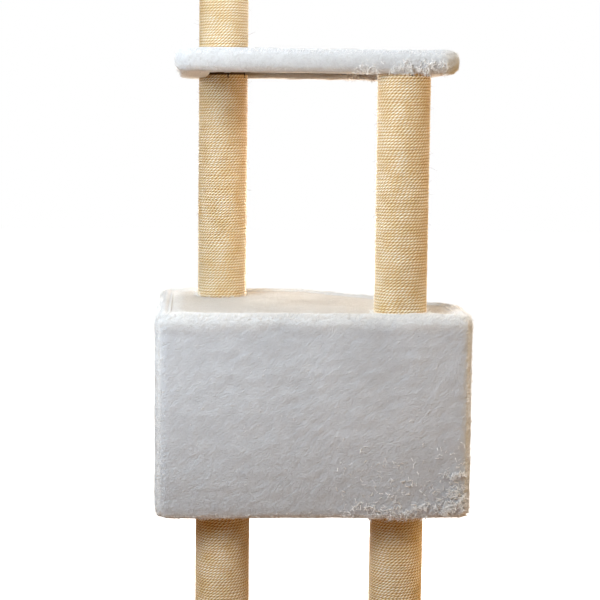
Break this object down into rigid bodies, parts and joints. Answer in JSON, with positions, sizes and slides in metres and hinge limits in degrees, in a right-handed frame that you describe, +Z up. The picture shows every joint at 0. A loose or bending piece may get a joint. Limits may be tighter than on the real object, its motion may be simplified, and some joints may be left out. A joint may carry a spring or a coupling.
{
  "type": "cat tree",
  "caption": "Tall cat tree: sisal-wound posts carry a plush-covered corner condo with a round entrance, a platform and a top perch over a wide base.",
  "frame": {"origin": "on the floor under the middle of the base", "axes": "+Z up; +X to the right along the condo's long flat front; +Y from that front towards the back"},
  "size_m": [0.62, 0.53, 1.659],
  "materials": {
    "plush": "short soft white-grey pile, brushed in patches",
    "sisal": "twisted natural sisal rope, dry, with loose fibres",
    "particle_board": "unsealed particle board",
    "cardboard_tube": "spiral-wound board tube",
    "wood_plug": "raw turned softwood",
    "zinc_steel": "bright zinc plate",
    "foot_plastic": "fine moulded texture"
  },
  "bodies": {
    "root": {"back_left_foot": "foot_plastic", "back_left_lower_post_base_bolt": "zinc_steel", "back_left_lower_post_floor_bolt": "zinc_steel", "back_left_lower_post_lower_plug": "wood_plug", "back_left_lower_post_rope": "sisal", "back_left_lower_post_tube": "cardboard_tube", "back_left_lower_post_upper_plug": "wood_plug", "back_right_foot": "foot_plastic", "back_wall": "particle_board", "base_board": "particle_board", "base_cover": "plush", "condo_floor": "particle_board", "condo_roof": "particle_board", "entrance_ring": "plush", "entrance_wall": "particle_board", "floor_mat": "plush", "front_left_foot": "foot_plastic", "front_left_lower_post_base_bolt": "zinc_steel", "front_left_lower_post_floor_bolt": "zinc_steel", "front_left_lower_post_lower_plug": "wood_plug", "front_left_lower_post_rope": "sisal", "front_left_lower_post_tube": "cardboard_tube", "front_left_lower_post_upper_plug": "wood_plug", "front_right_foot": "foot_plastic", "front_right_lower_post_base_bolt": "zinc_steel", "front_right_lower_post_floor_bolt": "zinc_steel", "front_right_lower_post_lower_plug": "wood_plug", "front_right_lower_post_rope": "sisal", "front_right_lower_post_tube": "cardboard_tube", "front_right_lower_post_upper_plug": "wood_plug", "front_wall": "particle_board", "left_upper_post_lower_plug": "wood_plug", "left_upper_post_roof_bolt": "zinc_steel", "left_upper_post_rope": "sisal", "left_upper_post_tube": "cardboard_tube", "left_upper_post_upper_plug": "wood_plug", "left_wall": "particle_board", "perch_board": "particle_board", "perch_bolt": "zinc_steel", "perch_cover": "plush", "platform_board": "particle_board", "platform_bolt": "zinc_steel", "platform_cover": "plush", "platform_stud": "zinc_steel", "right_upper_post_lower_plug": "wood_plug", "right_upper_post_roof_bolt": "zinc_steel", "right_upper_post_rope": "sisal", "right_upper_post_tube": "cardboard_tube", "right_upper_post_upper_plug": "wood_plug", "right_wall": "particle_board", "roof_cover": "plush", "top_post_lower_plug": "wood_plug", "top_post_rope": "sisal", "top_post_tube": "cardboard_tube", "top_post_upper_plug": "wood_plug", "underside_cover": "plush", "wall_cover": "plush"}
  },
  "joints": []
}
